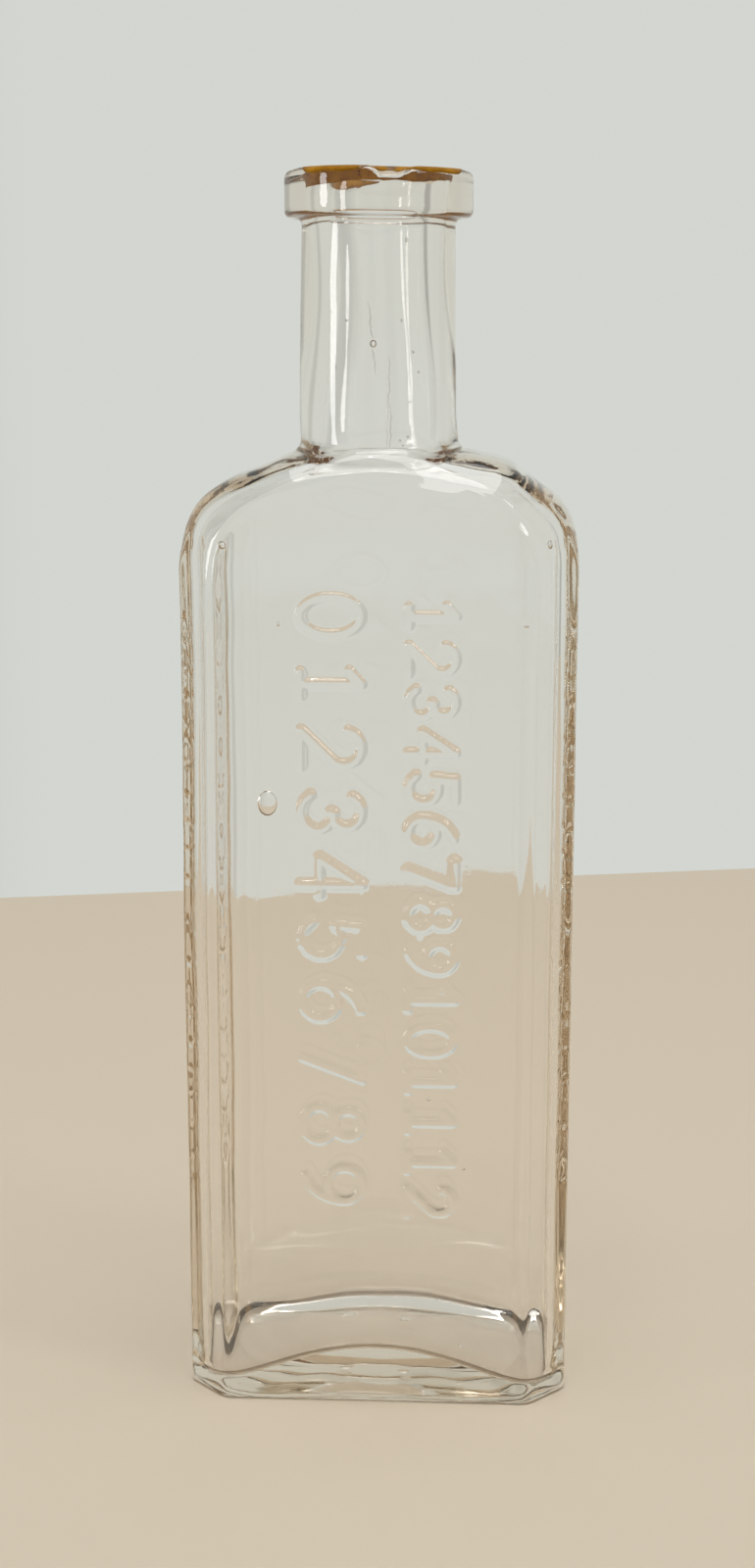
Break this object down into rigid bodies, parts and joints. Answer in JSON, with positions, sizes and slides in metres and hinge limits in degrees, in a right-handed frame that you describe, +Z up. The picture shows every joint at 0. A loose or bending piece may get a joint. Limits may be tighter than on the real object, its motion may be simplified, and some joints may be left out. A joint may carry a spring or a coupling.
{
  "type": "glass medicine bottle",
  "caption": "Clear glass bottle with bevelled corners, an arched shoulder, a straight neck and a flat-sided lip round a cork-sized bore.",
  "frame": {"origin": "centre of the base, on the surface that the bottle stands on", "axes": "+Z up the neck, +X across the width to the right seen from the front, and the front panel faces -Y"},
  "size_m": [0.0544, 0.032, 0.1715],
  "materials": {
    "clear_glass": "clear old glass, smooth and slightly wavy, with seed bubbles",
    "lip_glass": "clear old glass, tooled smooth, stained amber round the mouth"
  },
  "bodies": {
    "root": {"glass_body": "clear_glass", "applied_lip": "lip_glass"}
  },
  "joints": []
}
